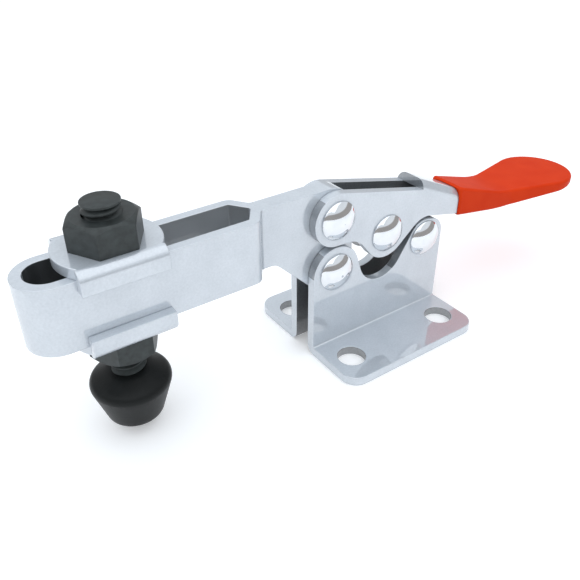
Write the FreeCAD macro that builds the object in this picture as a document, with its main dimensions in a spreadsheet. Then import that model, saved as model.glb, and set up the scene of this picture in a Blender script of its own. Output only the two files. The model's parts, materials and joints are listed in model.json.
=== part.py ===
import FreeCAD, Part
import math
import os
import Sketcher

# Horizontal hold-down toggle clamp, in millimetres.
# +X points to the grip end, -X to the clamping end, +Z up; the left side is -Y.
# The origin is the centre of the four mounting holes, on the underside of the base.

os.makedirs("parts", exist_ok=True)
doc = FreeCAD.newDocument("toggle_clamp")
sizes = doc.addObject("Spreadsheet::Sheet", "Sizes")

# Each group is a heading and its sizes; a text that starts with = is worked out from others.
SIZES = {
    "Sheet metal and running gaps": {
        "plate_thick": 2.5,
        "plate_play": 0.1,
        "plate_gap": "=2 * plate_thick + plate_play",
        "gap_half": "=plate_gap / 2",
        "outer_face": "=gap_half + plate_thick",
        "lobe_gap": 0.45,
        "trim_reach": "=3 * bar_reach",
    },
    "Pivots of the linkage at rest": {
        "arm_pivot_x": -15.3,
        "arm_pivot_z": 24.1,
        "link_pivot_x": 15.7,
        "link_pivot_z": 24.2,
        "crank_lead": 0.1,
        "crank_rise": 14.8,
        "crank_pivot_x": "=arm_pivot_x + crank_lead",
        "crank_pivot_z": "=arm_pivot_z + crank_rise",
        "knee_reach": 14.2,
        "knee_rise": 6,
        "knee_pivot_x": "=link_pivot_x - knee_reach",
        "knee_pivot_z": "=link_pivot_z + knee_rise",
        "lever_tilt": 13.53,
    },
    "Base plates": {
        "base_length": 45,
        "base_width": 44,
        "base_half": "=base_length / 2",
        "flange_reach": "=base_width / 2",
        "hole_spacing_x": 32,
        "hole_spacing_y": 27,
        "hole_x": "=hole_spacing_x / 2",
        "hole_y": "=hole_spacing_y / 2",
        "base_hole_r": 3.75,
        "flange_corner_r": 4.5,
        "flange_corner_x": "=base_half - flange_corner_r",
        "flange_corner_y": "=flange_reach - flange_corner_r",
        "bend_in_r": 0.5,
        "bend_out_r": "=bend_in_r + plate_thick",
        "bend_y": "=outer_face + bend_in_r",
        "stock_length": "=base_length + 2 * plate_thick",
        "stock_top": "=link_pivot_z + 2 * front_lobe_r",
        "front_lobe_r": "=base_half + arm_pivot_x",
        "valley_lead": 1.35,
        "valley_drop": 6,
        "valley_room": 0.25,
        "valley_x": "=knee_pivot_x - valley_lead",
        "valley_z": "=knee_pivot_z - valley_drop",
        "valley_r": "=knee_lobe_r + valley_room",
        "rear_lobe_r": 5.65,
        "rear_corner_r": 5,
        "rear_corner_x": "=base_half - rear_corner_r",
        "rear_corner_z": "=link_pivot_z + (rear_lobe_r - rear_corner_r"
                         " - sin(lever_tilt) * (rear_corner_x - link_pivot_x)) / cos(lever_tilt)",
    },
    "Rivets and bushes": {
        "rivet_r": 2.5,
        "pivot_play": 0.05,
        "rivet_hole_r": "=rivet_r + pivot_play",
        "rivet_head_r": 5.2,
        "rivet_rim": 0.4,
        "rivet_dome": 2.1,
        "rivet_edge_y": "=outer_face + rivet_rim",
        "rivet_crown_y": "=rivet_edge_y + rivet_dome",
        "rivet_dome_r": "=(rivet_head_r * rivet_head_r + rivet_dome * rivet_dome) / (2 * rivet_dome)",
        "bush_wall": 1.3,
        "bush_r": "=rivet_hole_r + bush_wall",
        "bush_hole_r": "=bush_r + pivot_play",
        "bush_length": "=2 * plate_thick",
    },
    "Handle lever": {
        "lever_width": "=2 * outer_face",
        "crank_lobe_r": "=crank_rise - front_lobe_r - lobe_gap",
        "knee_lobe_rim": 2,
        "knee_lobe_r": "=rivet_head_r + knee_lobe_rim",
        "notch_lead": 3.3,
        "notch_rise": 0.8,
        "notch_tuck": 0.5,
        "notch_x": "=arm_pivot_x + notch_lead",
        "notch_z": "=arm_pivot_z + notch_rise",
        "notch_r": "=front_lobe_r - notch_tuck",
        "lobe_play": 0.95,
        "hug_r": "=rear_lobe_r + lobe_play",
        "slot_length": 28.6,
        "web_start_x": "=crank_pivot_x + slot_length",
        "web_start_z": "=crank_pivot_z + (crank_lobe_r"
                       " - sin(lever_tilt) * (web_start_x - crank_pivot_x)) / cos(lever_tilt)",
        "web_rise": 2.45,
        "web_crest_x": "=web_start_x + web_rise * sin(lever_tilt)",
        "web_crest_z": "=web_start_z + web_rise * cos(lever_tilt)",
        "web_tilt": 24.6,
        "web_lift": "=plate_thick / cos(web_tilt)",
        "shoulder_r": 2.8,
        "tail_length": 10,
        "tail_end_x": "=grip_x + tail_length",
        "tail_end_z": "=web_crest_z - (tail_end_x - web_crest_x) * tan(web_tilt)",
        "tail_low_z": "=link_pivot_z + (hug_r - sin(lever_tilt) * (grip_x - link_pivot_x)) / cos(lever_tilt)",
        "ceiling_z": "=web_crest_z + (web_crest_x - web_start_x) * tan(web_tilt) - web_lift",
        "tail_solid": 4,
        "channel_end_x": "=tail_end_x - tail_solid",
        "channel_end_z": "=ceiling_z - (channel_end_x - web_start_x) * tan(web_tilt)",
    },
    "Grip": {
        "web_show": 14.6,
        "grip_x": "=web_start_x + web_show",
        "grip_wall": 0.55,
        "grip_half": "=outer_face + grip_wall",
        "waist_swell": 1.5,
        "waist_half": "=grip_half + waist_swell",
        "waist_reach": 19.5,
        "flare_x": "=grip_x + waist_reach",
        "flare_r": 10,
        "flare_y": "=waist_half + flare_r",
        "paddle_reach": 40.3,
        "paddle_x": "=grip_x + paddle_reach",
        "paddle_r": 11.4,
        "paddle_spare": 7.5,
        "paddle_past_x": "=paddle_x + paddle_r + paddle_spare",
        "rim_wall": 0.85,
        "rim_top_z": "=web_crest_z + rim_wall - (grip_x - web_crest_x) * tan(web_tilt)",
        "rim_low_z": "=tail_low_z - grip_wall",
        "dip_r": 36,
        "dip_reach": 24.3,
        "dip_drop": 5.9,
        "dip_x": "=grip_x + dip_reach",
        "dip_z": "=rim_top_z - dip_drop + dip_r",
        "belly_r": 62,
        "belly_reach": 20,
        "belly_drop": 2.05,
        "belly_x": "=grip_x + belly_reach",
        "belly_z": "=rim_low_z - belly_drop + belly_r",
        "paddle_fall": 0.9,
        "paddle_thick": 1.45,
        "paddle_top_z": "=rim_top_z - dip_drop - paddle_fall",
        "paddle_low_z": "=paddle_top_z - paddle_thick",
        "grip_round": 0.8,
        "grip_stock_length": "=3 * rim_top_z",
        "grip_play": 0.1,
        "socket_width": "=lever_width + 2 * grip_play",
        "socket_r": "=shoulder_r + grip_play",
        "socket_low_z": "=tail_low_z - grip_play",
        "socket_end_x": "=tail_end_x + grip_play",
        "socket_rise": "=grip_play / cos(web_tilt)",
        "socket_end_z": "=web_crest_z + socket_rise - (socket_end_x - web_crest_x) * tan(web_tilt)",
        "socket_mouth_x": "=grip_x - tail_solid",
        "socket_mouth_z": "=web_crest_z + socket_rise - (socket_mouth_x - web_crest_x) * tan(web_tilt)",
    },
    "Clamping bar": {
        "bar_half": 7.1,
        "bar_eye_r": 7.85,
        "bar_eye_back": 1.1,
        "bar_eye_x": "=crank_pivot_x - bar_eye_back",
        "bar_top": "=crank_pivot_z + bar_eye_r",
        "bar_height": 15.8,
        "bar_low": "=bar_top - bar_height",
        "bar_reach": 68.6,
        "nose_x": "=arm_pivot_x - bar_reach",
        "bar_past": "=2 * bar_half - nose_x",
        "slot_half": "=bar_half - plate_thick",
        "neck_half": "=plate_thick",
        "neck_length": 25.4,
        "neck_taper": 55,
        "bar_bend_in_r": 0.5,
        "bar_bend_out_r": "=bar_bend_in_r + plate_thick",
        "bar_bend_x": "=arm_pivot_x - neck_length",
        "bar_bend_y": "=bar_half - bar_bend_out_r",
        "neck_bend_r": 1.5,
        "neck_bend_y": "=neck_half + neck_bend_r",
        "neck_bend_x": "=bar_bend_x + (bar_bend_out_r + neck_bend_r) / sin(neck_taper)"
                       " + (bar_bend_y - neck_bend_y) / tan(neck_taper)",
        "vee_half": 0.3,
        "vee_x": "=bar_bend_x + bar_bend_in_r / sin(neck_taper) + (bar_bend_y - vee_half) / tan(neck_taper)",
        "neck_end_x": "=crank_pivot_x + 2 * bar_eye_r",
        "bar_stock_low": "=arm_pivot_z - 2 * bar_lobe_r",
        "bar_stock_height": "=bar_top - bar_stock_low + plate_thick",
        "bar_lobe_step": 0.2,
        "bar_lobe_r": "=front_lobe_r - bar_lobe_step",
        "throat_r": 4,
        "throat_reach": 18.44,
        "throat_x": "=arm_pivot_x - throat_reach",
        "throat_z": "=bar_low - throat_r",
    },
    "Toggle links": {
        "link_rim": 1.1,
        "link_lobe_r": "=bush_hole_r + link_rim",
    },
    "Spindle, nuts and tip": {
        "spindle_set": 12.8,
        "spindle_x": "=nose_x + spindle_set",
        "shank_r": 3.7,
        "thread_play": 0.05,
        "nut_bore_r": "=shank_r + thread_play",
        "bolt_show": 2.75,
        "bolt_top_z": "=upper_nut_end + bolt_show",
        "bolt_chamfer": 0.3,
        "bolt_chamfer_r": "=shank_r - bolt_chamfer",
        "bolt_chamfer_z": "=bolt_top_z - bolt_chamfer",
        "head_height": 5.3,
        "head_low_z": "=tip_low_z + head_height",
        "head_flats": 13,
        "head_flat_half": "=head_flats / 2",
        "head_corner": "=head_flats / sqrt(3)",
        "head_corner_half": "=head_corner / 2",
        "nut_flats": 14,
        "nut_height": 6.5,
        "nut_flat_half": "=nut_flats / 2",
        "nut_corner": "=nut_flats / sqrt(3)",
        "nut_corner_half": "=nut_corner / 2",
        "nut_face_step": 0.5,
        "nut_face_r": "=nut_flat_half - nut_face_step",
        "nut_cut_drop": 1.25,
        "nut_past_r": "=nut_corner + (nut_corner - nut_face_r)",
        "upper_nut_end": "=upper_face + nut_height",
        "upper_nut_past": "=upper_nut_end + nut_cut_drop",
        "upper_nut_cut": "=upper_nut_end - 2 * nut_cut_drop",
        "lower_nut_end": "=lower_face - nut_height",
        "lower_nut_past": "=lower_nut_end - nut_cut_drop",
        "lower_nut_cut": "=lower_nut_end + 2 * nut_cut_drop",
        "tip_gap": 4.85,
        "tip_height": 13.9,
        "tip_top_z": "=lower_nut_end - tip_gap",
        "tip_low_z": "=tip_top_z - tip_height",
        "tip_foot_r": 6.9,
        "tip_foot_round": 2,
        "tip_foot_x": "=tip_foot_r - tip_foot_round",
        "tip_foot_z": "=tip_low_z + tip_foot_round",
        "tip_shoulder_r": 9.4,
        "tip_shoulder_round": 2.1,
        "tip_shoulder_drop": 4,
        "tip_shoulder_x": "=tip_shoulder_r - tip_shoulder_round",
        "tip_shoulder_z": "=tip_top_z - tip_shoulder_drop",
        "tip_neck_wall": 0.9,
        "tip_neck_r": "=shank_r + tip_neck_wall",
        "tip_play": 0.05,
        "tip_bore_r": "=shank_r + tip_play",
        "pocket_flats": "=head_flats + 2 * tip_play",
        "pocket_flat_half": "=pocket_flats / 2",
        "pocket_corner": "=pocket_flats / sqrt(3)",
        "pocket_corner_half": "=pocket_corner / 2",
        "pocket_low_z": "=head_low_z - tip_play",
        "pocket_height": "=head_height + 2 * tip_play",
        "tip_bore_length": "=tip_top_z - head_low_z + tip_neck_wall",
    },
    "Flanged washers": {
        "washer_thick": 2.5,
        "lip_play": 0.05,
        "lip_in": "=bar_half + lip_play",
        "lip_out": "=lip_in + washer_thick",
        "lip_depth": 5.1,
        "lip_length": 18.6,
        "lip_half": "=lip_length / 2",
        "lip_bend_r": 2.5,
        "lip_bend_y": "=lip_out - lip_bend_r",
        "disc_r": 11.4,
        "disc_edge_x": "=sqrt(disc_r * disc_r - lip_in * lip_in)",
        "washer_stock": "=3 * disc_r",
        "washer_past_y": "=lip_out + washer_thick",
        "washer_play": 0.55,
        "washer_hole_r": "=shank_r + washer_play",
        "upper_seat": "=bar_top",
        "upper_face": "=upper_seat + washer_thick",
        "upper_lip": "=upper_face - lip_depth",
        "upper_bend": "=upper_face - lip_bend_r",
        "lower_seat": "=bar_low",
        "lower_face": "=lower_seat - washer_thick",
        "lower_lip": "=lower_face + lip_depth",
        "lower_bend": "=lower_face + lip_bend_r",
    },
}


def fill_sheet():
    """Write the headings and names in column A, each with its size beside it under that alias."""
    row = 0
    for heading, entries in SIZES.items():
        row += 1
        sizes.set(f"A{row}", heading)
        for name in entries:
            row += 1
            sizes.set(f"A{row}", name)
            sizes.setAlias(f"B{row}", name)
    for entries in SIZES.values():
        for name, content in entries.items():
            sizes.set(name, str(content))


def number(name):
    """Value of a named size; a minus sign before the name turns it negative."""
    if name.startswith("-"):
        return -float(getattr(sizes, name[1:]))
    return float(getattr(sizes, name))


def bound(name):
    """Expression that ties a property to a named size."""
    if name.startswith("-"):
        return "-Sizes." + name[1:]
    return "Sizes." + name


def toward(side, name):
    """The size itself on the +Y or upper side, its negative on the other side."""
    return name if side > 0 else "-" + name


def new_body(label):
    body = doc.addObject("PartDesign::Body", label)
    body.Label = label
    return body


def sketch_on(body, name, plane, x=None, y=None, lift=None):
    """Sketch on one of the body's origin planes, moved in it and off it by named sizes."""
    sketch = body.newObject("Sketcher::SketchObject", name)
    support = [item for item in body.Origin.OriginFeatures if item.Role == plane][0]
    sketch.AttachmentSupport = [(support, "")]
    sketch.MapMode = "FlatFace"
    for axis, size in (("x", x), ("y", y), ("z", lift)):
        if size is not None:
            sketch.setExpression("AttachmentOffset.Base." + axis, bound(size))
    return sketch


def tie(sketch, constraint, size):
    """Add a constraint whose value follows a named size."""
    index = sketch.addConstraint(constraint)
    sketch.renameConstraint(index, f"size_{index}")
    sketch.setExpression(f"Constraints.size_{index}", bound(size))


def hold_point(sketch, shape, spot, x, y):
    """Hold a point at named distances from the sketch's origin; None keeps it on the axis."""
    for kind, size, axis in (("DistanceX", x, -2), ("DistanceY", y, -1)):
        if size is None:
            sketch.addConstraint(Sketcher.Constraint("PointOnObject", shape, spot, axis))
        else:
            tie(sketch, Sketcher.Constraint(kind, -1, 1, shape, spot, number(size)), size)


def place(x, y):
    """Start position of a point, zero where it lies on an axis."""
    across = 0.0 if x is None else number(x)
    along = 0.0 if y is None else number(y)
    return FreeCAD.Vector(across, along, 0)


def corner(x, y):
    """Sharp corner of an outline."""
    return {"kind": "corner", "x": x, "y": y, "radius": None, "turn": 0}


def arc(x, y, radius, turn):
    """Arc about a centre, anticlockwise for turn +1 and clockwise for turn -1."""
    return {"kind": "arc", "x": x, "y": y, "radius": radius, "turn": turn}


def bow(radius, turn):
    """Arc that joins the corners before and after it in place of a line."""
    return {"kind": "bow", "radius": radius, "turn": turn}


def round_piece(centre, radius, start, end, turn):
    """Circular arc from start to end, and the numbers of its start and end vertices."""
    first, last = (start, end) if turn > 0 else (end, start)
    angle_a = math.atan2(first.y - centre.y, first.x - centre.x)
    angle_b = math.atan2(last.y - centre.y, last.x - centre.x)
    if angle_b <= angle_a:
        angle_b += 2 * math.pi
    circle = Part.Circle(centre, FreeCAD.Vector(0, 0, 1), radius)
    vertices = (1, 2) if turn > 0 else (2, 1)
    return Part.ArcOfCircle(circle, angle_a, angle_b), vertices


def tangent_ends(here, there):
    """Ends of the straight line that leaves one arc or corner and meets the next tangentially."""
    start = place(here["x"], here["y"])
    end = place(there["x"], there["y"])
    pull_a = here["turn"] * number(here["radius"]) if here["radius"] else 0.0
    pull_b = there["turn"] * number(there["radius"]) if there["radius"] else 0.0
    gap = end - start
    heading = math.atan2(gap.y, gap.x) - math.asin((pull_b - pull_a) / gap.Length)
    left = FreeCAD.Vector(-math.sin(heading), math.cos(heading), 0)
    return start - left * pull_a, end - left * pull_b


def outline(sketch, pieces):
    """Close a chain of corners and arcs with lines that run tangent to the arcs."""
    spots = []
    bows = {}
    for piece in pieces:
        if piece["kind"] == "bow":
            bows[len(spots) - 1] = piece
        else:
            spots.append(piece)
    count = len(spots)
    ends = [tangent_ends(spots[i], spots[(i + 1) % count]) for i in range(count)]
    sides = []
    for i, (start, end) in enumerate(ends):
        if i in bows:
            radius = number(bows[i]["radius"])
            chord = end - start
            rise = math.sqrt(radius ** 2 - chord.Length ** 2 / 4)
            left = FreeCAD.Vector(-chord.y, chord.x, 0).normalize()
            centre = (start + end) * 0.5 + left * rise * bows[i]["turn"]
            shape, vertices = round_piece(centre, radius, start, end, bows[i]["turn"])
        else:
            shape = Part.LineSegment(start, end)
            vertices = (1, 2)
        index = sketch.addGeometry(shape)
        sides.append((index, vertices))
        if i in bows:
            tie(sketch, Sketcher.Constraint("Radius", index, radius), bows[i]["radius"])
    for i, spot in enumerate(spots):
        before, before_ends = sides[i - 1]
        after, after_ends = sides[i]
        if spot["kind"] == "corner":
            sketch.addConstraint(Sketcher.Constraint("Coincident", before, before_ends[1], after, after_ends[0]))
            hold_point(sketch, after, after_ends[0], spot["x"], spot["y"])
            continue
        centre = place(spot["x"], spot["y"])
        radius = number(spot["radius"])
        shape, vertices = round_piece(centre, radius, ends[i - 1][1], ends[i][0], spot["turn"])
        index = sketch.addGeometry(shape)
        sketch.addConstraint(Sketcher.Constraint("Tangent", before, before_ends[1], index, vertices[0]))
        sketch.addConstraint(Sketcher.Constraint("Tangent", after, after_ends[0], index, vertices[1]))
        hold_point(sketch, index, 3, spot["x"], spot["y"])
        tie(sketch, Sketcher.Constraint("Radius", index, radius), spot["radius"])


def surround(sketch):
    """Big square round an outline, so that a cut removes all that lies outside the outline."""
    outline(sketch, [
        corner("-trim_reach", "-trim_reach"),
        corner("trim_reach", "-trim_reach"),
        corner("trim_reach", "trim_reach"),
        corner("-trim_reach", "trim_reach"),
    ])


def circles(sketch, rounds):
    """Full circles, each given as x, y and radius."""
    for x, y, radius in rounds:
        circle = Part.Circle(place(x, y), FreeCAD.Vector(0, 0, 1), number(radius))
        index = sketch.addGeometry(circle)
        hold_point(sketch, index, 3, x, y)
        tie(sketch, Sketcher.Constraint("Radius", index, number(radius)), radius)


def pad(body, sketch, length, both=False, flip=False):
    """Extrude a sketch to one side, or half the length to each side."""
    feature = body.newObject("PartDesign::Pad", sketch.Name + "_pad")
    feature.Profile = sketch
    feature.SideType = "Symmetric" if both else "One side"
    feature.Reversed = flip
    feature.setExpression("Length", bound(length))
    doc.recompute()
    return feature


def check_cut(body, before, feature):
    """A cut that points away from the solid removes nothing, so the volumes are compared."""
    doc.recompute()
    after = body.Shape.Volume
    if after > before or math.isclose(after, before):
        raise RuntimeError(feature.Label + " removes nothing")


def cut(body, sketch, length=None, both=False, flip=False):
    """Cut a sketch through all of the body both ways, or to a named length."""
    doc.recompute()
    before = body.Shape.Volume
    feature = body.newObject("PartDesign::Pocket", sketch.Name + "_cut")
    feature.Profile = sketch
    feature.Reversed = flip
    if length is None:
        feature.Type = "ThroughAll"
        feature.SideType = "Symmetric"
    else:
        feature.SideType = "Symmetric" if both else "One side"
        feature.setExpression("Length", bound(length))
    check_cut(body, before, feature)
    return feature


def turned(body, sketch, kind="PartDesign::Revolution"):
    """Turn a sketch a full circle about its own vertical axis."""
    doc.recompute()
    before = body.Shape.Volume if kind == "PartDesign::Groove" else 0
    feature = body.newObject(kind, sketch.Name + "_turned")
    feature.Profile = sketch
    feature.ReferenceAxis = (sketch, ["V_Axis"])
    feature.Angle = 360
    doc.recompute()
    if kind == "PartDesign::Groove":
        check_cut(body, before, feature)
    return feature


def edge_names(shape, wanted):
    """Names of the edges that pass a test."""
    return [f"Edge{i + 1}" for i, edge in enumerate(shape.Edges) if wanted(edge)]


def fillet(body, wanted, radius):
    """Round the edges of the body's last feature that pass a test."""
    doc.recompute()
    base = body.Tip
    feature = body.newObject("PartDesign::Fillet", body.Name + "_fillet")
    feature.Base = (base, edge_names(base.Shape, wanted))
    feature.setExpression("Radius", bound(radius))
    doc.recompute()
    return feature


def is_sharp(shape, edge):
    """True where the two faces of an edge meet at an angle."""
    middle = edge.valueAt((edge.FirstParameter + edge.LastParameter) / 2)
    normals = []
    for face in shape.Faces:
        if any(side.isSame(edge) for side in face.Edges):
            across, along = face.Surface.parameter(middle)
            normals.append(face.normalAt(across, along))
    return len(normals) == 2 and normals[0].getAngle(normals[1]) > math.radians(20)


def hexagon(sketch, reach, half_reach, flat_half):
    """Hexagon with corners towards +X and -X."""
    outline(sketch, [
        corner(reach, None),
        corner(half_reach, flat_half),
        corner("-" + half_reach, flat_half),
        corner("-" + reach, None),
        corner("-" + half_reach, "-" + flat_half),
        corner(half_reach, "-" + flat_half),
    ])


def base_plate(label, side):
    """Angle plate: a flange with two mounting holes, and a web with two lobes for the pivots."""
    body = new_body(label)
    hand = -side
    section = sketch_on(body, label + "_section", "YZ_Plane")
    outline(section, [
        corner(toward(side, "flange_reach"), None),
        arc(toward(side, "bend_y"), "bend_out_r", "bend_out_r", hand),
        corner(toward(side, "gap_half"), "stock_top"),
        corner(toward(side, "outer_face"), "stock_top"),
        arc(toward(side, "bend_y"), "bend_out_r", "bend_in_r", -hand),
        corner(toward(side, "flange_reach"), "plate_thick"),
    ])
    pad(body, section, "stock_length", both=True)
    web = sketch_on(body, label + "_web", "XZ_Plane")
    surround(web)
    outline(web, [
        corner("-base_half", None),
        corner("base_half", None),
        arc("rear_corner_x", "rear_corner_z", "rear_corner_r", 1),
        arc("link_pivot_x", "link_pivot_z", "rear_lobe_r", 1),
        arc("valley_x", "valley_z", "valley_r", -1),
        arc("arm_pivot_x", "arm_pivot_z", "front_lobe_r", 1),
    ])
    cut(body, web)
    plan = sketch_on(body, label + "_plan", "XY_Plane")
    surround(plan)
    outline(plan, [
        corner("base_half", None),
        corner("-base_half", None),
        arc("-flange_corner_x", toward(side, "flange_corner_y"), "flange_corner_r", hand),
        arc("flange_corner_x", toward(side, "flange_corner_y"), "flange_corner_r", hand),
    ])
    cut(body, plan)
    holes = sketch_on(body, label + "_holes", "XY_Plane")
    circles(holes, [
        ("-hole_x", toward(side, "hole_y"), "base_hole_r"),
        ("hole_x", toward(side, "hole_y"), "base_hole_r"),
    ])
    cut(body, holes)
    pivots = sketch_on(body, label + "_pivots", "XZ_Plane")
    circles(pivots, [
        ("arm_pivot_x", "arm_pivot_z", "rivet_hole_r"),
        ("link_pivot_x", "link_pivot_z", "rivet_hole_r"),
    ])
    cut(body, pivots)
    return body


def handle_lever(label):
    """Folded lever: two lobed cheeks and a closed channel whose tail goes into the grip."""
    body = new_body(label)
    side_view = sketch_on(body, label + "_side", "XZ_Plane")
    outline(side_view, [
        arc("knee_pivot_x", "knee_pivot_z", "knee_lobe_r", 1),
        arc("link_pivot_x", "link_pivot_z", "hug_r", -1),
        corner("grip_x", "tail_low_z"),
        corner("tail_end_x", "tail_low_z"),
        corner("tail_end_x", "tail_end_z"),
        corner("web_crest_x", "web_crest_z"),
        corner("web_start_x", "web_start_z"),
        arc("crank_pivot_x", "crank_pivot_z", "crank_lobe_r", 1),
        arc("notch_x", "notch_z", "notch_r", -1),
    ])
    pad(body, side_view, "lever_width", both=True)
    channel = sketch_on(body, label + "_channel", "XZ_Plane")
    outline(channel, [
        corner("-trim_reach", "-trim_reach"),
        corner("channel_end_x", "-trim_reach"),
        corner("channel_end_x", "channel_end_z"),
        corner("web_start_x", "ceiling_z"),
        corner("web_start_x", "trim_reach"),
        corner("-trim_reach", "trim_reach"),
    ])
    cut(body, channel, "plate_gap", both=True)
    pivots = sketch_on(body, label + "_pivots", "XZ_Plane")
    circles(pivots, [
        ("crank_pivot_x", "crank_pivot_z", "rivet_hole_r"),
        ("knee_pivot_x", "knee_pivot_z", "rivet_hole_r"),
    ])
    cut(body, pivots)

    def on_shoulder(edge):
        box = edge.BoundBox
        along = box.YLength < number("plate_play") and box.XLength > number("tail_length")
        from_crest = abs(box.XMin - number("web_crest_x")) < number("plate_play")
        return along and from_crest and box.ZMax > number("web_crest_z") - number("plate_play")

    fillet(body, on_shoulder, "shoulder_r")
    return body


def handle_grip(label):
    """Dipped grip: a slim front with a flat round paddle, hollow where the lever's tail sits."""
    body = new_body(label)
    plan = sketch_on(body, label + "_plan", "XY_Plane")
    outline(plan, [
        corner("grip_x", "-grip_half"),
        arc("flare_x", "-flare_y", "flare_r", -1),
        arc("paddle_x", None, "paddle_r", 1),
        arc("flare_x", "flare_y", "flare_r", -1),
        corner("grip_x", "grip_half"),
    ])
    pad(body, plan, "grip_stock_length", both=True)
    side_view = sketch_on(body, label + "_side", "XZ_Plane")
    surround(side_view)
    outline(side_view, [
        corner("socket_mouth_x", "rim_low_z"),
        corner("grip_x", "rim_low_z"),
        arc("belly_x", "belly_z", "belly_r", 1),
        corner("paddle_past_x", "paddle_low_z"),
        corner("paddle_past_x", "paddle_top_z"),
        arc("dip_x", "dip_z", "dip_r", -1),
        corner("grip_x", "rim_top_z"),
        corner("socket_mouth_x", "rim_top_z"),
    ])
    trimmed = cut(body, side_view)
    rounded = fillet(body, lambda edge: is_sharp(trimmed.Shape, edge), "grip_round")
    hollow = body.newObject("PartDesign::Boolean", label + "_hollow")
    hollow.Type = "Cut"
    hollow.setObjects([tail_room(label + "_socket")])
    check_cut(body, rounded.Shape.Volume, hollow)
    return body


def tail_room(label):
    """Room for the lever's tail inside the grip, round-shouldered like the tail."""
    body = new_body(label)
    side_view = sketch_on(body, label + "_side", "XZ_Plane")
    outline(side_view, [
        corner("socket_mouth_x", "socket_low_z"),
        corner("socket_end_x", "socket_low_z"),
        corner("socket_end_x", "socket_end_z"),
        corner("socket_mouth_x", "socket_mouth_z"),
    ])
    pad(body, side_view, "socket_width", both=True)

    def on_top(edge):
        box = edge.BoundBox
        along = box.YLength < number("grip_play") and box.XLength > number("tail_solid")
        return along and box.ZMax > number("socket_mouth_z") - number("grip_play")

    fillet(body, on_top, "socket_r")
    return body


def clamping_bar(label):
    """Flat bar folded round its nose into a U whose legs meet in a neck that carries the pivots."""
    body = new_body(label)
    plan = sketch_on(body, label + "_plan", "XY_Plane", lift="bar_stock_low")
    outline(plan, [
        arc("nose_x", None, "bar_half", 1),
        arc("bar_bend_x", "-bar_bend_y", "bar_bend_out_r", 1),
        arc("neck_bend_x", "-neck_bend_y", "neck_bend_r", -1),
        corner("neck_end_x", "-neck_half"),
        corner("neck_end_x", "neck_half"),
        arc("neck_bend_x", "neck_bend_y", "neck_bend_r", -1),
        arc("bar_bend_x", "bar_bend_y", "bar_bend_out_r", 1),
    ])
    outline(plan, [
        arc("nose_x", None, "slot_half", 1),
        arc("bar_bend_x", "-bar_bend_y", "bar_bend_in_r", 1),
        corner("vee_x", "-vee_half"),
        corner("vee_x", "vee_half"),
        arc("bar_bend_x", "bar_bend_y", "bar_bend_in_r", 1),
    ])
    pad(body, plan, "bar_stock_height")
    side_view = sketch_on(body, label + "_side", "XZ_Plane")
    surround(side_view)
    outline(side_view, [
        corner("-bar_past", "bar_low"),
        arc("throat_x", "throat_z", "throat_r", -1),
        arc("arm_pivot_x", "arm_pivot_z", "bar_lobe_r", 1),
        arc("bar_eye_x", "crank_pivot_z", "bar_eye_r", 1),
        corner("-bar_past", "bar_top"),
    ])
    cut(body, side_view)
    pivots = sketch_on(body, label + "_pivots", "XZ_Plane")
    circles(pivots, [
        ("arm_pivot_x", "arm_pivot_z", "bush_hole_r"),
        ("crank_pivot_x", "crank_pivot_z", "bush_hole_r"),
    ])
    cut(body, pivots)
    return body


def toggle_link(label, side):
    """Flat link plate with a round eye at each end."""
    body = new_body(label)
    plate = sketch_on(body, label + "_outline", "XZ_Plane")
    outline(plate, [
        arc("knee_pivot_x", "knee_pivot_z", "link_lobe_r", 1),
        arc("link_pivot_x", "link_pivot_z", "link_lobe_r", 1),
    ])
    circles(plate, [
        ("knee_pivot_x", "knee_pivot_z", "bush_hole_r"),
        ("link_pivot_x", "link_pivot_z", "bush_hole_r"),
    ])
    pad(body, plate, "plate_thick", flip=side > 0)
    return body


def bush(label, x, z):
    """Hardened bush in the eyes of the bar or the links."""
    body = new_body(label)
    ring = sketch_on(body, label + "_ring", "XZ_Plane")
    circles(ring, [(x, z, "bush_r"), (x, z, "rivet_hole_r")])
    pad(body, ring, "bush_length", both=True)
    return body


def rivet(label, x, z):
    """Rivet across the whole linkage, with a domed head on each side."""
    body = new_body(label)
    profile = sketch_on(body, label + "_profile", "XY_Plane", x=x, lift=z)
    outline(profile, [
        corner(None, "-rivet_crown_y"),
        bow("rivet_dome_r", 1),
        corner("rivet_head_r", "-rivet_edge_y"),
        corner("rivet_head_r", "-outer_face"),
        corner("rivet_r", "-outer_face"),
        corner("rivet_r", "outer_face"),
        corner("rivet_head_r", "outer_face"),
        corner("rivet_head_r", "rivet_edge_y"),
        bow("rivet_dome_r", 1),
        corner(None, "rivet_crown_y"),
    ])
    turned(body, profile)
    return body


def half_rivet(label, x, z, side):
    """Half of the knee rivet, whose shank ends flush with the inside of its cheek."""
    body = new_body(label)
    hand = -side
    profile = sketch_on(body, label + "_profile", "XY_Plane", x=x, lift=z)
    outline(profile, [
        corner(None, toward(side, "rivet_crown_y")),
        bow("rivet_dome_r", hand),
        corner("rivet_head_r", toward(side, "rivet_edge_y")),
        corner("rivet_head_r", toward(side, "outer_face")),
        corner("rivet_r", toward(side, "outer_face")),
        corner("rivet_r", toward(side, "gap_half")),
        corner(None, toward(side, "gap_half")),
    ])
    turned(body, profile)
    return body


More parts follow.
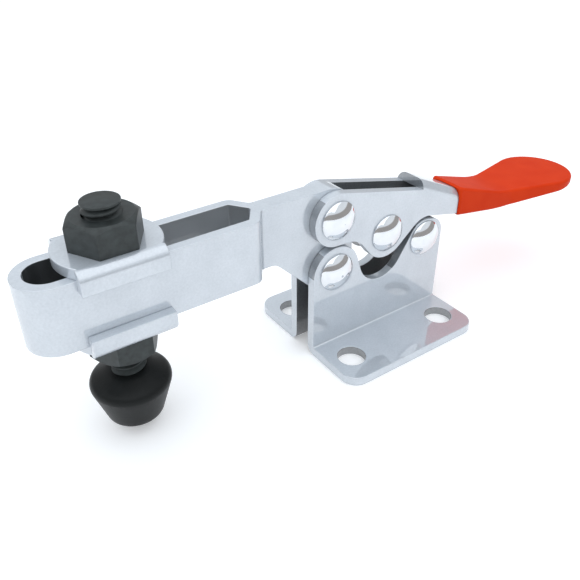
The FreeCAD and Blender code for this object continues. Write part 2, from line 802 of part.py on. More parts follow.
def flanged_washer(label, seat, face, lip, bend, side):
    """Washer that rides on the bar's edge, with two lips bent over the bar's sides."""
    body = new_body(label)
    section = sketch_on(body, label + "_section", "YZ_Plane", lift="spindle_x")
    outline(section, [
        corner("lip_in", lip),
        corner("lip_out", lip),
        arc("lip_bend_y", bend, "lip_bend_r", side),
        arc("-lip_bend_y", bend, "lip_bend_r", side),
        corner("-lip_out", lip),
        corner("-lip_in", lip),
        corner("-lip_in", seat),
        corner("lip_in", seat),
    ])
    pad(body, section, "washer_stock", both=True)
    plan = sketch_on(body, label + "_plan", "XY_Plane", x="spindle_x")
    surround(plan)
    outline(plan, [
        corner("-lip_half", "-washer_past_y"),
        corner("lip_half", "-washer_past_y"),
        corner("lip_half", "-lip_in"),
        corner("disc_edge_x", "-lip_in"),
        bow("disc_r", 1),
        corner("disc_edge_x", "lip_in"),
        corner("lip_half", "lip_in"),
        corner("lip_half", "washer_past_y"),
        corner("-lip_half", "washer_past_y"),
        corner("-lip_half", "lip_in"),
        corner("-disc_edge_x", "lip_in"),
        bow("disc_r", 1),
        corner("-disc_edge_x", "-lip_in"),
        corner("-lip_half", "-lip_in"),
    ])
    cut(body, plan)
    hole = sketch_on(body, label + "_hole", "XY_Plane", x="spindle_x")
    circles(hole, [(None, None, "washer_hole_r")])
    cut(body, hole)
    return body


def hex_nut(label, face, end, past, cut_low, side):
    """Hexagon nut on a washer, its corners turned off at the free end."""
    body = new_body(label)
    across = sketch_on(body, label + "_hexagon", "XY_Plane", x="spindle_x", lift=face)
    hexagon(across, "nut_corner", "nut_corner_half", "nut_flat_half")
    pad(body, across, "nut_height", flip=side < 0)
    cone = sketch_on(body, label + "_cone", "XZ_Plane", x="spindle_x")
    outline(cone, [
        corner("nut_face_r", end),
        corner("nut_past_r", cut_low),
        corner("nut_past_r", past),
        corner("nut_face_r", past),
    ])
    turned(body, cone, "PartDesign::Groove")
    bore = sketch_on(body, label + "_bore", "XY_Plane", x="spindle_x")
    circles(bore, [(None, None, "nut_bore_r")])
    cut(body, bore)
    return body


def spindle_bolt(label):
    """Hexagon bolt, head down, its head moulded into the rubber tip."""
    body = new_body(label)
    shank = sketch_on(body, label + "_shank", "XZ_Plane", x="spindle_x")
    outline(shank, [
        corner(None, "head_low_z"),
        corner("shank_r", "head_low_z"),
        corner("shank_r", "bolt_chamfer_z"),
        corner("bolt_chamfer_r", "bolt_top_z"),
        corner(None, "bolt_top_z"),
    ])
    turned(body, shank)
    head = sketch_on(body, label + "_head", "XY_Plane", x="spindle_x", lift="head_low_z")
    hexagon(head, "head_corner", "head_corner_half", "head_flat_half")
    pad(body, head, "head_height")
    return body


def spindle_tip(label):
    """Rubber tip: a tapered plug with a rounded foot and a conical top round the bolt's head."""
    body = new_body(label)
    profile = sketch_on(body, label + "_profile", "XZ_Plane", x="spindle_x")
    outline(profile, [
        corner(None, "tip_low_z"),
        arc("tip_foot_x", "tip_foot_z", "tip_foot_round", 1),
        arc("tip_shoulder_x", "tip_shoulder_z", "tip_shoulder_round", 1),
        corner("tip_neck_r", "tip_top_z"),
        corner(None, "tip_top_z"),
    ])
    turned(body, profile)
    pocket = sketch_on(body, label + "_pocket", "XY_Plane", x="spindle_x", lift="pocket_low_z")
    hexagon(pocket, "pocket_corner", "pocket_corner_half", "pocket_flat_half")
    cut(body, pocket, "pocket_height", flip=True)
    bore = sketch_on(body, label + "_bore", "XY_Plane", x="spindle_x", lift="head_low_z")
    circles(bore, [(None, None, "tip_bore_r")])
    cut(body, bore, "tip_bore_length", flip=True)
    return body


fill_sheet()
doc.recompute()

LEFT = -1
RIGHT = 1
UP = 1
DOWN = -1

nodes = [
    base_plate("base_plate_left", LEFT),
    base_plate("base_plate_right", RIGHT),
    handle_lever("handle_lever"),
    handle_grip("handle_grip"),
    clamping_bar("clamping_bar"),
    toggle_link("toggle_link_left", LEFT),
    toggle_link("toggle_link_right", RIGHT),
    bush("bush_bar_base", "arm_pivot_x", "arm_pivot_z"),
    bush("bush_bar_handle", "crank_pivot_x", "crank_pivot_z"),
    bush("bush_link_base", "link_pivot_x", "link_pivot_z"),
    bush("bush_link_handle", "knee_pivot_x", "knee_pivot_z"),
    rivet("rivet_bar_base", "arm_pivot_x", "arm_pivot_z"),
    rivet("rivet_bar_handle", "crank_pivot_x", "crank_pivot_z"),
    rivet("rivet_link_base", "link_pivot_x", "link_pivot_z"),
    half_rivet("rivet_link_handle_left", "knee_pivot_x", "knee_pivot_z", LEFT),
    half_rivet("rivet_link_handle_right", "knee_pivot_x", "knee_pivot_z", RIGHT),
    flanged_washer("washer_upper", "upper_seat", "upper_face", "upper_lip", "upper_bend", UP),
    flanged_washer("washer_lower", "lower_seat", "lower_face", "lower_lip", "lower_bend", DOWN),
    hex_nut("nut_upper", "upper_face", "upper_nut_end", "upper_nut_past", "upper_nut_cut", UP),
    hex_nut("nut_lower", "lower_face", "lower_nut_end", "lower_nut_past", "lower_nut_cut", DOWN),
    spindle_bolt("spindle_bolt"),
    spindle_tip("spindle_tip"),
]

doc.recompute()
for item in doc.Objects:
    if "Invalid" in item.State or "Error" in item.State:
        raise RuntimeError(f"{item.Label} failed: {item.State}")
for node in nodes:
    if node.Shape.isNull() or not node.Shape.isValid():
        raise RuntimeError(node.Label + " has no valid shape")
for node in nodes:
    node.Shape.exportStep(f"parts/{node.Label}.step")
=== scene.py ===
import json
import math

import bpy
from mathutils import Matrix, Vector

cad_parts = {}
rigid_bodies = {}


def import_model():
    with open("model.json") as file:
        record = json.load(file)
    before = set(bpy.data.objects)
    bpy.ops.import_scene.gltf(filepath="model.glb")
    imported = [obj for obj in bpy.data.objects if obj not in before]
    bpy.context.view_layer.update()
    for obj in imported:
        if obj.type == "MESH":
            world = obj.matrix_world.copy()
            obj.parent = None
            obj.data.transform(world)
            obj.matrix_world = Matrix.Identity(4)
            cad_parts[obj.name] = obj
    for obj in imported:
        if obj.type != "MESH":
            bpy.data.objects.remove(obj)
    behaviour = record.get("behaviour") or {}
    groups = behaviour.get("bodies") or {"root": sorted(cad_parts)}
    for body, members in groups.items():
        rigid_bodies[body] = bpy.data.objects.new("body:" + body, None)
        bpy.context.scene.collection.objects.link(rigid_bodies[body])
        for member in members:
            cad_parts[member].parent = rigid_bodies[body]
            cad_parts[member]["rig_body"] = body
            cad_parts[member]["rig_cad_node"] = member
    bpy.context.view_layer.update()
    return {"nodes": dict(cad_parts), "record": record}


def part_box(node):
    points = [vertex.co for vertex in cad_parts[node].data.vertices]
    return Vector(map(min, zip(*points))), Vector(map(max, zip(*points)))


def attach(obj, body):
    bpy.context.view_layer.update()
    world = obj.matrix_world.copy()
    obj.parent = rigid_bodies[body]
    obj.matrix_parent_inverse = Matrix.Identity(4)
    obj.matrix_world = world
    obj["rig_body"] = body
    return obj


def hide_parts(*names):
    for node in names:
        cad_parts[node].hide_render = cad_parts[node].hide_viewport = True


MM = 0.001

# The photograph's frame, and where its camera stood, worked out from the clamp's own edges.
# The angles are in degrees.
FRAME_PIXELS = 580
FOCAL_PIXELS = 645.5
AXIS_PIXEL_X = 280.7
AXIS_PIXEL_Y = 268.0
CAMERA_AZIMUTH = -33.70
CAMERA_ELEVATION = 31.91
CAMERA_ROLL = -0.856
CAMERA_PLACE = (-104.99 * MM, -113.72 * MM, 112.84 * MM)
SENSOR_WIDTH = 36.0

# The spindle's M8 thread, drawn at the pitch that the photograph shows, and how it splits over one turn.
THREAD_PITCH = 1.8 * MM
THREAD_CREST = 4.08 * MM
THREAD_ROOT = 3.2 * MM
THREAD_STEPS = 64
ROOT_SHARE = 0.2
FLANK_UP_SHARE = 0.3
CREST_SHARE = 0.14
FLANK_DOWN_SHARE = 0.36
HIDDEN_TURNS = 2
# The thread starts this far inside the rubber tip, and ends in one full crest with a broken edge.
THREAD_SINK = 0.3 * MM
TOP_CREST = 0.5 * MM
TOP_CREST_EDGE = 0.1 * MM
# The bolt's head in the rubber, the plain bore of the nuts, and the bore that clears the thread.
HEAD_HEIGHT = 5.3 * MM
BORE_RADIUS = 3.8 * MM
NUT_THREAD = 4.15 * MM
PLAIN_END_SIDES = 48

# Small radii that tumbling and plating leave on the edges of steel.
PRESSED_EDGE = 0.22 * MM
RIVET_EDGE = 0.15 * MM
NUT_EDGE = 0.18 * MM

# Points closer than this are one, and faces that turn less than this, in degrees, are one flat.
MERGE_GAP = 0.001 * MM
THREAD_MERGE_GAP = 0.002 * MM
FLAT_ANGLE = 0.3
# Edges that turn more than these, in degrees, are sharp.
SHARP_ANGLE = 35
THREAD_SHARP_ANGLE = 28
CREST_SHARP_ANGLE = 40

# The floor's size, how far it lies under the clamp, and the light that it adds where it is seen, so that it
# reads as white paper.
FLOOR_SIZE = 8.0
FLOOR_DROP = 0.05 * MM
FLOOR_LIFT = 0.22

# The room's grey walls turn to white sky between these heights on a sphere of radius 1.
WALL_TOP = 0.30
SKY_START = 0.35

# The soft lamp's place, size and power, and the point it faces.
LAMP_PLACE = (-0.16, -0.14, 0.70)
LAMP_WIDTH = 1.4
LAMP_HEIGHT = 1.2
LAMP_WATTS = 3.4
LAMP_TARGET = (-20 * MM, 0, 20 * MM)

# Where the base's screw holes are, how far their walls reach, and the height above which its sides rise.
SCREW_HOLE_X = 16 * MM
SCREW_HOLE_Y = 13.5 * MM
SCREW_HOLE_REACH = 4 * MM
FLANGE_TOP = 4 * MM
# Shares of a face's normal along Y: over the first it looks sideways, under the second it is a plate's edge.
SIDEWAYS = 0.5
EDGEWISE = 0.3
# Shares along Z: under the first the face is an upright wall, under the second it isn't a top.
UPRIGHT = 0.5
NOT_TOP = 0.8

# Where the painted shade in the bar's slot is darkest, and where it is lightest.
SLOT_DARKEST_X = -80 * MM
SLOT_LIGHTEST_X = -58 * MM

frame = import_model()


def linear(hex_colour):
    """Scene-linear RGBA of an sRGB hex colour."""
    channels = []
    for i in (1, 3, 5):
        level = int(hex_colour[i:i + 2], 16) / 255
        channels.append(level / 12.92 if level <= 0.04045 else ((level + 0.055) / 1.055) ** 2.4)
    return (*channels, 1.0)


def add_node(tree, kind, settings=None, sockets=None):
    """Add a node, set its properties, and fill its sockets with values or links."""
    node = tree.nodes.new(kind)
    for name, value in (settings or {}).items():
        setattr(node, name, value)
    for name, value in (sockets or {}).items():
        if isinstance(value, bpy.types.NodeSocket):
            tree.links.new(value, node.inputs[name])
        else:
            node.inputs[name].default_value = value
    return node


def new_material(name):
    """Empty material with its output node."""
    material = bpy.data.materials.new(name)
    material.use_nodes = True
    tree = material.node_tree
    tree.nodes.clear()
    return material, tree, tree.nodes.new("ShaderNodeOutputMaterial")


def object_place(tree, stretch=(1, 1, 1)):
    """Position on the object, stretched so that a pattern runs longer one way."""
    coordinates = add_node(tree, "ShaderNodeTexCoord")
    mapping = add_node(tree, "ShaderNodeMapping", {}, {
        "Vector": coordinates.outputs["Object"],
        "Scale": stretch,
    })
    return mapping.outputs["Vector"]


def zinc_plated_sheet(name, dull_tint, bright_tint, fade=None):
    """Bright zinc on pressed steel under a clear passivate: satin, with a faint sharp mirror on top."""
    material, tree, output = new_material(name)
    clouds = add_node(tree, "ShaderNodeTexNoise", {}, {
        "Vector": object_place(tree),
        # Plating clouds about 7 mm across.
        "Scale": 1 / (7 * MM),
        "Detail": 3.0,
    })
    # Zinc crystals of 0.05 mm, drawn 0.5 mm across so that their grain shows.
    grain = add_node(tree, "ShaderNodeTexNoise", {}, {
        "Vector": object_place(tree),
        "Scale": 1 / (0.5 * MM),
        "Detail": 2.0,
    })
    mottle = add_node(tree, "ShaderNodeMath", {"operation": "ADD"}, {
        0: clouds.outputs["Fac"],
        1: grain.outputs["Fac"],
    })
    spread = add_node(tree, "ShaderNodeMapRange", {}, {
        "Value": mottle.outputs["Value"],
        "From Min": 0.6,
        "From Max": 1.4,
    })
    if fade:
        # Painted shade: the colour darkens along the part towards the fade's first place.
        place = add_node(tree, "ShaderNodeSeparateXYZ", {}, {"Vector": object_place(tree)})
        spread = add_node(tree, "ShaderNodeMapRange", {}, {
            "Value": place.outputs["X"],
            "From Min": fade[0],
            "From Max": fade[1],
        })
    # Rolling lines 0.12 mm wide in the steel, drawn 0.35 mm wide so that they show.
    lines = add_node(tree, "ShaderNodeTexNoise", {}, {
        "Vector": object_place(tree, (0.02, 1.0, 1.0)),
        "Scale": 1 / (0.35 * MM),
        "Detail": 2.0,
    })
    colour = add_node(tree, "ShaderNodeMix", {"data_type": "RGBA"}, {
        "Factor": spread.outputs["Result"],
        "A": linear(dull_tint),
        "B": linear(bright_tint),
    })
    shine = add_node(tree, "ShaderNodeMapRange", {}, {
        "Value": clouds.outputs["Fac"],
        "From Min": 0.3,
        "From Max": 0.7,
        "To Min": 0.52,
        "To Max": 0.44,
    })
    relief = add_node(tree, "ShaderNodeBump", {}, {
        "Strength": 0.04,
        "Distance": 0.02 * MM,
        "Height": lines.outputs["Fac"],
    })
    surface = add_node(tree, "ShaderNodeBsdfPrincipled", {}, {
        "Base Color": colour.outputs["Result"],
        # The fine crystals scatter most of the light under the film, as on paint with metal in it.
        "Metallic": 0.35,
        "Roughness": shine.outputs["Result"],
        "Normal": relief.outputs["Normal"],
        # The passivate is a film of chromium oxide, which mirrors far more than lacquer does.
        "Coat Weight": 1.0,
        "Coat Roughness": 0.015,
        "Coat IOR": 2.6,
    })
    tree.links.new(surface.outputs["BSDF"], output.inputs["Surface"])
    return material


def bright_rivet_steel(name, dull_tint, bright_tint, roughness):
    """Cold-headed steel with bright nickel: a near mirror, with faint ripples from the rivet set."""
    material, tree, output = new_material(name)
    ripple = add_node(tree, "ShaderNodeTexNoise", {}, {
        "Vector": object_place(tree),
        # Ripples of the heading tool about 2 mm across.
        "Scale": 1 / (2 * MM),
        "Detail": 1.0,
    })
    colour = add_node(tree, "ShaderNodeMix", {"data_type": "RGBA"}, {
        "Factor": ripple.outputs["Fac"],
        "A": linear(dull_tint),
        "B": linear(bright_tint),
    })
    shine = add_node(tree, "ShaderNodeMapRange", {}, {
        "Value": ripple.outputs["Fac"],
        "To Min": roughness * 0.8,
        "To Max": roughness * 1.2,
    })
    relief = add_node(tree, "ShaderNodeBump", {}, {
        "Strength": 0.08,
        "Distance": 0.02 * MM,
        "Height": ripple.outputs["Fac"],
    })
    surface = add_node(tree, "ShaderNodeBsdfPrincipled", {}, {
        "Base Color": colour.outputs["Result"],
        "Metallic": 1.0,
        "Roughness": shine.outputs["Result"],
        "Normal": relief.outputs["Normal"],
    })
    tree.links.new(surface.outputs["BSDF"], output.inputs["Surface"])
    return material


def black_oxide_steel(name):
    """Machined steel with black oxide and oil: dark grey-green, satin, slightly mottled."""
    material, tree, output = new_material(name)
    mottle = add_node(tree, "ShaderNodeTexNoise", {}, {
        "Vector": object_place(tree),
        # Oxide mottling about 1.5 mm across.
        "Scale": 1 / (1.5 * MM),
        "Detail": 4.0,
    })
    colour = add_node(tree, "ShaderNodeMix", {"data_type": "RGBA"}, {
        "Factor": mottle.outputs["Fac"],
        "A": linear("#111414"),
        "B": linear("#444B4B"),
    })
    shine = add_node(tree, "ShaderNodeMapRange", {}, {
        "Value": mottle.outputs["Fac"],
        "To Min": 0.36,
        "To Max": 0.52,
    })
    relief = add_node(tree, "ShaderNodeBump", {}, {
        "Strength": 0.15,
        "Distance": 0.03 * MM,
        "Height": mottle.outputs["Fac"],
    })
    surface = add_node(tree, "ShaderNodeBsdfPrincipled", {}, {
        "Base Color": colour.outputs["Result"],
        # The oxide film hides most of the metal.
        "Metallic": 0.25,
        "Roughness": shine.outputs["Result"],
        "Normal": relief.outputs["Normal"],
    })
    tree.links.new(surface.outputs["BSDF"], output.inputs["Surface"])
    return material


def moulded_rubber(name):
    """Black nitrile rubber from a blasted mould: near-black, dull, finely pebbled."""
    material, tree, output = new_material(name)
    pebble = add_node(tree, "ShaderNodeTexVoronoi", {}, {
        "Vector": object_place(tree),
        # Mould grit of 0.2 mm, drawn at 0.4 mm so that it shows.
        "Scale": 1 / (0.4 * MM),
    })
    bloom = add_node(tree, "ShaderNodeTexNoise", {}, {
        "Vector": object_place(tree),
        # Bloom patches about 4 mm across.
        "Scale": 1 / (4 * MM),
        "Detail": 3.0,
    })
    colour = add_node(tree, "ShaderNodeMix", {"data_type": "RGBA"}, {
        "Factor": bloom.outputs["Fac"],
        "A": linear("#0D0F0F"),
        "B": linear("#181B1B"),
    })
    relief = add_node(tree, "ShaderNodeBump", {}, {
        "Strength": 0.25,
        "Distance": 0.05 * MM,
        "Height": pebble.outputs["Distance"],
    })
    surface = add_node(tree, "ShaderNodeBsdfPrincipled", {}, {
        "Base Color": colour.outputs["Result"],
        "Roughness": 0.42,
        "IOR": 1.52,
        # Bloom and grit on the skin scatter most of its gloss.
        "Specular IOR Level": 0.18,
        "Normal": relief.outputs["Normal"],
    })
    tree.links.new(surface.outputs["BSDF"], output.inputs["Surface"])
    return material


def dipped_vinyl(name):
    """Steel dipped in orange-red plastisol: satin, a little wavy where it sagged and cured."""
    material, tree, output = new_material(name)
    sag = add_node(tree, "ShaderNodeTexNoise", {}, {
        "Vector": object_place(tree),
        # Sags of the cured film about 6 mm across.
        "Scale": 1 / (6 * MM),
        "Detail": 1.0,
    })
    skin = add_node(tree, "ShaderNodeTexNoise", {}, {
        "Vector": object_place(tree),
        # Orange-peel skin about 0.5 mm across.
        "Scale": 1 / (0.5 * MM),
        "Detail": 2.0,
    })
    colour = add_node(tree, "ShaderNodeMix", {"data_type": "RGBA"}, {
        "Factor": sag.outputs["Fac"],
        "A": linear("#CF340F"),
        "B": linear("#DB4119"),
    })
    height = add_node(tree, "ShaderNodeMath", {"operation": "MULTIPLY_ADD"}, {
        0: sag.outputs["Fac"],
        1: 4.0,
        2: skin.outputs["Fac"],
    })
    relief = add_node(tree, "ShaderNodeBump", {}, {
        "Strength": 0.12,
        "Distance": 0.04 * MM,
        "Height": height.outputs["Value"],
    })
    surface = add_node(tree, "ShaderNodeBsdfPrincipled", {}, {
        "Base Color": colour.outputs["Result"],
        "Roughness": 0.5,
        "IOR": 1.53,
        # The soft plastisol scatters most of its own gloss.
        "Specular IOR Level": 0.05,
        "Normal": relief.outputs["Normal"],
    })
    tree.links.new(surface.outputs["BSDF"], output.inputs["Surface"])
    return material


def pale_floor_paint(name):
    """Matt white studio floor, lifted to white where it is seen or mirrored, with its shadow kept."""
    material, tree, output = new_material(name)
    rays = add_node(tree, "ShaderNodeLightPath")
    seen = add_node(tree, "ShaderNodeMath", {"operation": "MAXIMUM"}, {
        0: rays.outputs["Is Camera Ray"],
        1: rays.outputs["Is Glossy Ray"],
    })
    lift = add_node(tree, "ShaderNodeMath", {"operation": "MULTIPLY"}, {
        0: seen.outputs["Value"],
        1: FLOOR_LIFT,
    })
    surface = add_node(tree, "ShaderNodeBsdfPrincipled", {}, {
        "Base Color": linear("#F4F5F6"),
        "Roughness": 0.9,
        "Emission Color": linear("#FFFFFF"),
        "Emission Strength": lift.outputs["Value"],
    })
    tree.links.new(surface.outputs["BSDF"], output.inputs["Surface"])
    return material


def select_only(thing):
    """Make one object the only one selected, and active."""
    bpy.ops.object.select_all(action="DESELECT")
    thing.select_set(True)
    bpy.context.view_layer.objects.active = thing


def apply_modifier(thing, kind, **settings):
    """Add a modifier to an object and apply it at once."""
    select_only(thing)
    modifier = thing.modifiers.new(kind.title(), kind)
    for name, value in settings.items():
        setattr(modifier, name, value)
    bpy.ops.object.modifier_apply(modifier=modifier.name)


def body_of_node(node):
    """Name of the body that carries a node."""
    bodies = frame["record"]["behaviour"]["bodies"]
    return next(body for body, members in bodies.items() if node in members)


def finished_copy(node, material, edge_width=0, others=(), choose=None, thread=None):
    """Dress a copy of a solid: triangles merged, flats kept flat, sharp edges rounded, materials by face."""
    source = frame["nodes"][node]
    piece = source.copy()
    piece.data = source.data.copy()
    piece.name = node + "_finish"
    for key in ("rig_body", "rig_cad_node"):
        del piece[key]
    piece.parent = None
    bpy.context.scene.collection.objects.link(piece)
    select_only(piece)
    bpy.ops.object.mode_set(mode="EDIT")
    bpy.ops.mesh.select_all(action="SELECT")
    bpy.ops.mesh.remove_doubles(threshold=MERGE_GAP)
    if edge_width:
        bpy.ops.mesh.dissolve_limited(angle_limit=math.radians(FLAT_ANGLE))
    bpy.ops.object.mode_set(mode="OBJECT")
    if thread:
        widen_bore(piece, *thread)
    piece.data.materials.clear()
    for one in (material, *others):
        piece.data.materials.append(one)
    for polygon in piece.data.polygons:
        polygon.material_index = choose(polygon) if others else 0
    if edge_width:
        apply_modifier(piece, "BEVEL", width=edge_width, segments=2, limit_method="ANGLE",
                       angle_limit=math.radians(SHARP_ANGLE), use_clamp_overlap=True)
    select_only(piece)
    bpy.ops.object.shade_smooth_by_angle(angle=math.radians(SHARP_ANGLE))
    if edge_width:
        apply_modifier(piece, "WEIGHTED_NORMAL", keep_sharp=True, weight=90)
    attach(piece, body_of_node(node))
    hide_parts(node)


def widen_bore(piece, axis_x, old_radius, new_radius):
    """Open a nut's bore about its own axis, to clear the crests of the spindle's thread."""
    for vertex in piece.data.vertices:
        reach = math.hypot(vertex.co.x - axis_x, vertex.co.y)
        vertex.select = reach < old_radius
    for edge in piece.data.edges:
        edge.select = all(piece.data.vertices[i].select for i in edge.vertices)
    for polygon in piece.data.polygons:
        polygon.select = all(piece.data.vertices[i].select for i in polygon.vertices)
    select_only(piece)
    bpy.ops.object.mode_set(mode="EDIT")
    ratio = new_radius / old_radius
    bpy.ops.transform.resize(value=(ratio, ratio, 1), center_override=(axis_x, 0, 0))
    bpy.ops.object.mode_set(mode="OBJECT")


def painted_shade_at(polygon):
    """Painted shade of a face: 0 none, 1 dark grey in a hole or between plates (painted shade), 2 darker
    grey on a sheared edge (painted dark reflection).
    """
    normal, middle = polygon.normal, polygon.center
    from_hole = math.hypot(abs(middle.x) - SCREW_HOLE_X, abs(middle.y) - SCREW_HOLE_Y)
    in_hole = from_hole < SCREW_HOLE_REACH and abs(normal.z) < UPRIGHT
    if in_hole or slot_shade_at(polygon):
        return 1
    # Sheared edge faces get the darker grey: painted dark reflection.
    sheared = abs(normal.y) < EDGEWISE and normal.z < NOT_TOP and middle.z > FLANGE_TOP
    return 2 if sheared else 0


def slot_shade_at(polygon):
    """Painted shade of a face: 1 dark where it looks at the clamp's mid-plane from the side, 0 full plating
    colour elsewhere.
    """
    return int(abs(polygon.normal.y) > SIDEWAYS and polygon.normal.y * polygon.center.y < 0)


def threaded_bolt(material):
    """Spindle bolt: a thread with a full crest on top, a plain end and a hexagon head in the rubber."""
    low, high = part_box("spindle_bolt")
    axis_x = (low.x + high.x) / 2
    head_half = (high.x - low.x) / 2
    thread_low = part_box("spindle_tip")[1].z - THREAD_SINK
    bpy.ops.object.select_all(action="DESELECT")
    bpy.ops.mesh.primitive_plane_add(size=2 * THREAD_ROOT, location=(axis_x, 0, 0))
    bolt = bpy.context.active_object
    bolt.name = "spindle_bolt_thread"
    bpy.ops.object.transform_apply(location=True, rotation=True, scale=True)
    bpy.ops.object.mode_set(mode="EDIT")
    bpy.ops.mesh.merge(type="CENTER")
    start = thread_low - HIDDEN_TURNS * THREAD_PITCH
    bpy.ops.transform.translate(value=(THREAD_ROOT, 0, start))
    rise = THREAD_CREST - THREAD_ROOT
    one_turn = ((0, ROOT_SHARE), (rise, FLANK_UP_SHARE), (0, CREST_SHARE), (-rise, FLANK_DOWN_SHARE))
    turns = math.ceil((high.z - start) / THREAD_PITCH) + 1
    for _ in range(turns):
        for out, share in one_turn:
            bpy.ops.mesh.extrude_region_move(
                TRANSFORM_OT_translate={"value": (out, 0, share * THREAD_PITCH)})
    bpy.ops.object.mode_set(mode="OBJECT")
    for vertex in bolt.data.vertices:
        vertex.co.x -= axis_x
    apply_modifier(bolt, "SCREW", angle=math.tau, screw_offset=THREAD_PITCH, iterations=1,
                   steps=THREAD_STEPS, render_steps=THREAD_STEPS, axis="Z",
                   use_merge_vertices=True, merge_threshold=THREAD_MERGE_GAP)
    for vertex in bolt.data.vertices:
        vertex.co.x += axis_x
    select_only(bolt)
    bpy.ops.object.mode_set(mode="EDIT")
    bpy.ops.mesh.select_all(action="SELECT")
    bpy.ops.mesh.remove_doubles(threshold=THREAD_MERGE_GAP)
    for cut_height, outward in ((high.z - TOP_CREST / 2, 1), (thread_low, -1)):
        bpy.ops.mesh.select_all(action="SELECT")
        bpy.ops.mesh.bisect(plane_co=(axis_x, 0, cut_height), plane_no=(0, 0, outward),
                            use_fill=True, clear_outer=True)
    bpy.ops.mesh.select_all(action="SELECT")
    bpy.ops.mesh.normals_make_consistent(inside=False)
    bpy.ops.object.mode_set(mode="OBJECT")
    bpy.ops.object.select_all(action="DESELECT")
    bpy.ops.mesh.primitive_cylinder_add(vertices=THREAD_STEPS, radius=THREAD_CREST, depth=TOP_CREST,
                                        location=(axis_x, 0, high.z - TOP_CREST / 2))
    top = bpy.context.active_object
    apply_modifier(top, "BEVEL", width=TOP_CREST_EDGE, segments=2, limit_method="ANGLE",
                   angle_limit=math.radians(CREST_SHARP_ANGLE))
    shank_low = low.z + HEAD_HEIGHT
    bpy.ops.object.select_all(action="DESELECT")
    bpy.ops.mesh.primitive_cylinder_add(vertices=PLAIN_END_SIDES, radius=THREAD_ROOT,
                                        depth=thread_low - shank_low,
                                        location=(axis_x, 0, (thread_low + shank_low) / 2))
    plain_end = bpy.context.active_object
    bpy.ops.object.select_all(action="DESELECT")
    bpy.ops.mesh.primitive_cylinder_add(vertices=6, radius=head_half, depth=HEAD_HEIGHT,
                                        location=(axis_x, 0, low.z + HEAD_HEIGHT / 2),
                                        rotation=(0, 0, math.pi / 6))
    head = bpy.context.active_object
    apply_modifier(head, "BEVEL", width=NUT_EDGE, segments=2)
    bpy.ops.object.select_all(action="DESELECT")
    for part in (bolt, top, plain_end, head):
        part.select_set(True)
    bpy.context.view_layer.objects.active = bolt
    bpy.ops.object.join()
    bpy.ops.object.transform_apply(location=True, rotation=True, scale=True)
    bpy.ops.object.shade_smooth_by_angle(angle=math.radians(THREAD_SHARP_ANGLE))
    bolt.data.materials.clear()
    bolt.data.materials.append(material)
    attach(bolt, "spindle")
    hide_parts("spindle_bolt")


def photo_camera():
    """Camera at the photograph's place, with its lens and framing."""
    data = bpy.data.cameras.new("photo_camera")
    data.sensor_width = SENSOR_WIDTH
    data.lens = FOCAL_PIXELS / FRAME_PIXELS * SENSOR_WIDTH
    data.shift_x = (FRAME_PIXELS / 2 - AXIS_PIXEL_X) / FRAME_PIXELS
    data.shift_y = (AXIS_PIXEL_Y - FRAME_PIXELS / 2) / FRAME_PIXELS
    data.clip_start = 1 * MM
    data.clip_end = 20.0
    camera = bpy.data.objects.new("photo_camera", data)
    bpy.context.scene.collection.objects.link(camera)
    azimuth = math.radians(CAMERA_AZIMUTH)
    elevation = math.radians(CAMERA_ELEVATION)
    roll = math.radians(CAMERA_ROLL)
    back = Vector((
        math.sin(azimuth) * math.cos(elevation),
        -math.cos(azimuth) * math.cos(elevation),
        math.sin(elevation),
    ))
    right = Vector((math.cos(azimuth), math.sin(azimuth), 0))
    up = back.cross(right)
    tilted_right = right * math.cos(roll) + up * math.sin(roll)
    tilted_up = up * math.cos(roll) - right * math.sin(roll)
    turn = Matrix((tilted_right, tilted_up, back)).transposed().to_4x4()
    camera.matrix_world = Matrix.Translation(CAMERA_PLACE) @ turn
    bpy.context.scene.camera = camera


def soft_box(name, place, target, width, height, watts, colour):
    """Rectangular studio lamp that faces a point."""
    data = bpy.data.lights.new(name, "AREA")
    data.shape = "RECTANGLE"
    data.size = width
    data.size_y = height
    data.energy = watts
    data.color = linear(colour)[:3]
    lamp = bpy.data.objects.new(name, data)
    bpy.context.scene.collection.objects.link(lamp)
    lamp.location = place
    aim = Vector(target) - Vector(place)
    lamp.rotation_mode = "QUATERNION"
    lamp.rotation_quaternion = aim.to_track_quat("-Z", "Y")


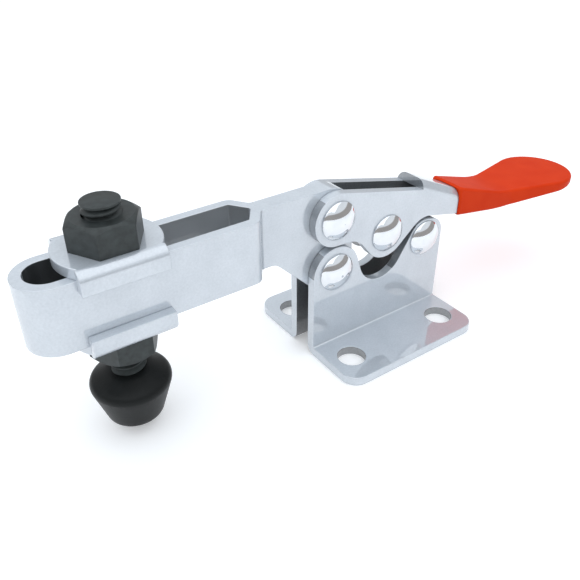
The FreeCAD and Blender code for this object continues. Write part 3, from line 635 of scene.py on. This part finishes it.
def studio():
    """White room: a pale floor, a sky that is white overhead and grey at the horizon, and a soft lamp."""
    bpy.ops.object.select_all(action="DESELECT")
    bpy.ops.mesh.primitive_plane_add(size=FLOOR_SIZE, location=(0, 0, -FLOOR_DROP))
    floor = bpy.context.active_object
    floor.name = "floor"
    floor.data.materials.append(pale_floor_paint("matt_white_floor"))
    world = bpy.data.worlds.new("white_room")
    bpy.context.scene.world = world
    world.use_nodes = True
    tree = world.node_tree
    tree.nodes.clear()
    direction = add_node(tree, "ShaderNodeTexCoord")
    height = add_node(tree, "ShaderNodeSeparateXYZ", {}, {"Vector": direction.outputs["Generated"]})
    rise = add_node(tree, "ShaderNodeMapRange", {"interpolation_type": "SMOOTHSTEP"}, {
        "Value": height.outputs["Z"],
        "From Min": WALL_TOP,
        "From Max": SKY_START,
        "To Min": 0.0,
        "To Max": 1.0,
    })
    sky = add_node(tree, "ShaderNodeMix", {"data_type": "RGBA"}, {
        "Factor": rise.outputs["Result"],
        "A": linear("#A8A5A3"),
        "B": linear("#EDF2F7"),
    })
    rays = add_node(tree, "ShaderNodeLightPath")
    seen = add_node(tree, "ShaderNodeMix", {"data_type": "RGBA"}, {
        "Factor": rays.outputs["Is Camera Ray"],
        "A": sky.outputs["Result"],
        "B": linear("#FFFFFF"),
    })
    background = add_node(tree, "ShaderNodeBackground", {}, {
        "Color": seen.outputs["Result"],
        "Strength": 1.0,
    })
    output = add_node(tree, "ShaderNodeOutputWorld")
    tree.links.new(background.outputs["Background"], output.inputs["Surface"])
    soft_box("key_soft_box", LAMP_PLACE, LAMP_TARGET, LAMP_WIDTH, LAMP_HEIGHT, LAMP_WATTS, "#F8FBFF")


bpy.context.scene.view_settings.view_transform = "Standard"
photo_camera()
studio()

plate_steel = zinc_plated_sheet("zinc_plated_sheet_steel", "#B9C1CA", "#CBD3DB")
# Faces in slots, in holes and between plates are painted dark grey: painted shade, standing for the shade
# that falls in these recesses.
recess_shade_steel = zinc_plated_sheet("painted_shade_recess_steel", "#5C6063", "#74787B")
# The bar's slot walls are painted dark grey, darkest at one end: painted shade inside the slot.
slot_shade_steel = zinc_plated_sheet("painted_shade_slot_steel", "#4A4D4F", "#989CA0",
                               fade=(SLOT_DARKEST_X, SLOT_LIGHTEST_X))
# Sheared edges are painted a darker grey than the rolled faces: a painted dark reflection of the
# surroundings they face.
sheared_edge_reflection_steel = zinc_plated_sheet("painted_dark_reflection_sheared_edge_steel", "#737980", "#868C92")
rivet_steel = bright_rivet_steel("bright_nickel_rivet_steel", "#D9DCE0", "#ECEEF0", 0.07)
bush_steel = bright_rivet_steel("ground_bush_steel", "#8E9195", "#A9ACB0", 0.28)
dark_steel = black_oxide_steel("black_oxide_steel")
rubber = moulded_rubber("moulded_nitrile_rubber")
vinyl = dipped_vinyl("dipped_orange_vinyl")

for node in ("base_plate_left", "base_plate_right", "handle_lever"):
    finished_copy(node, plate_steel, PRESSED_EDGE, (recess_shade_steel, sheared_edge_reflection_steel), painted_shade_at)
finished_copy("clamping_bar", plate_steel, PRESSED_EDGE, (slot_shade_steel,), slot_shade_at)
# The links sit in the shade between the plates, so they are painted dark grey all over: painted shade.
for node in ("toggle_link_left", "toggle_link_right"):
    finished_copy(node, recess_shade_steel, PRESSED_EDGE)
for node in ("washer_upper", "washer_lower"):
    finished_copy(node, plate_steel, PRESSED_EDGE)
for node in ("rivet_bar_base", "rivet_bar_handle", "rivet_link_base", "rivet_link_handle_left",
             "rivet_link_handle_right"):
    finished_copy(node, rivet_steel, RIVET_EDGE)
for node in ("bush_bar_base", "bush_bar_handle", "bush_link_base", "bush_link_handle"):
    finished_copy(node, bush_steel)
spindle_axis = sum(corner.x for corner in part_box("spindle_bolt")) / 2
for node in ("nut_upper", "nut_lower"):
    finished_copy(node, dark_steel, NUT_EDGE, thread=(spindle_axis, BORE_RADIUS, NUT_THREAD))
finished_copy("spindle_tip", rubber)
finished_copy("handle_grip", vinyl)
threaded_bolt(dark_steel)
